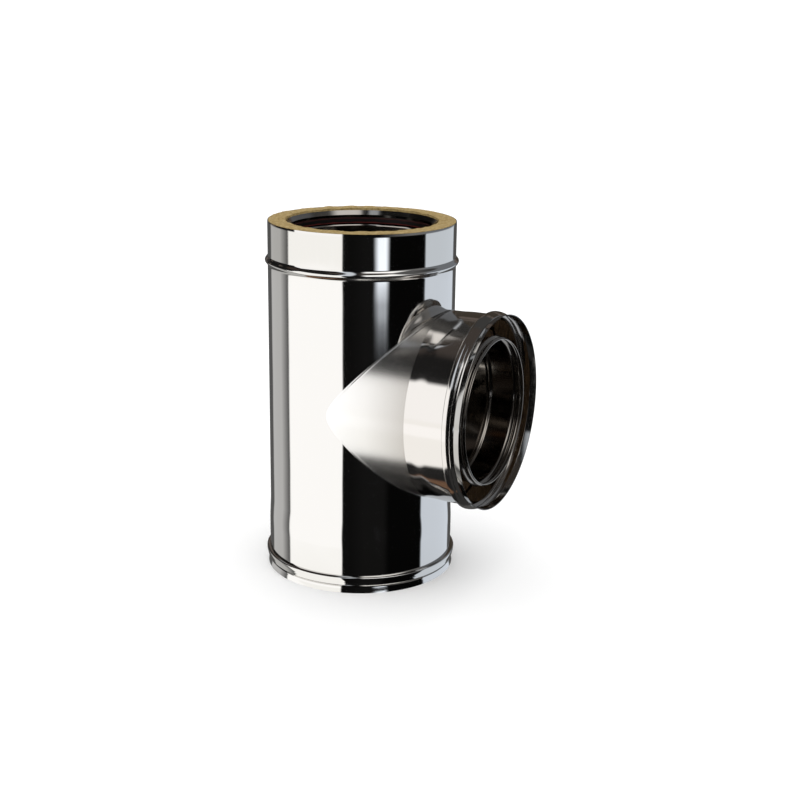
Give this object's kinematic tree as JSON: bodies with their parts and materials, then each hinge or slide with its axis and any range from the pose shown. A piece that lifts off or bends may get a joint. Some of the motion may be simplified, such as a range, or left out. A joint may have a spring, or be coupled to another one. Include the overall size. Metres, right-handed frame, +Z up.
{
  "type": "stove pipe tee",
  "caption": "Twin-wall insulated stove pipe tee: bright steel jacket with a plain upper end, a swaged foot socket and an equal side branch, steel liner inside and mineral wool between.",
  "frame": {"origin": "under the middle of the whole tee, at the level of the foot rim", "axes": "+Z up along the body towards its plain end, +X along the branch towards its mouth"},
  "size_m": [0.2688, 0.2096, 0.382],
  "materials": {
    "bright_steel": "bright annealed stainless sheet, near mirror",
    "satin_steel": "satin brushed stainless sheet",
    "liner_steel": "bright rolled stainless sheet",
    "mineral_wool": "cut fibrous mineral wool",
    "red_silicone": "moulded silicone, dull"
  },
  "bodies": {
    "root": {"outer_jacket": "bright_steel", "branch_collar": "satin_steel", "branch_end_ring": "bright_steel", "inner_liner": "liner_steel", "liner_branch_neck": "liner_steel", "liner_branch_socket": "liner_steel", "wool_blanket": "mineral_wool", "wool_sleeve": "mineral_wool", "top_seal": "red_silicone"}
  },
  "joints": []
}
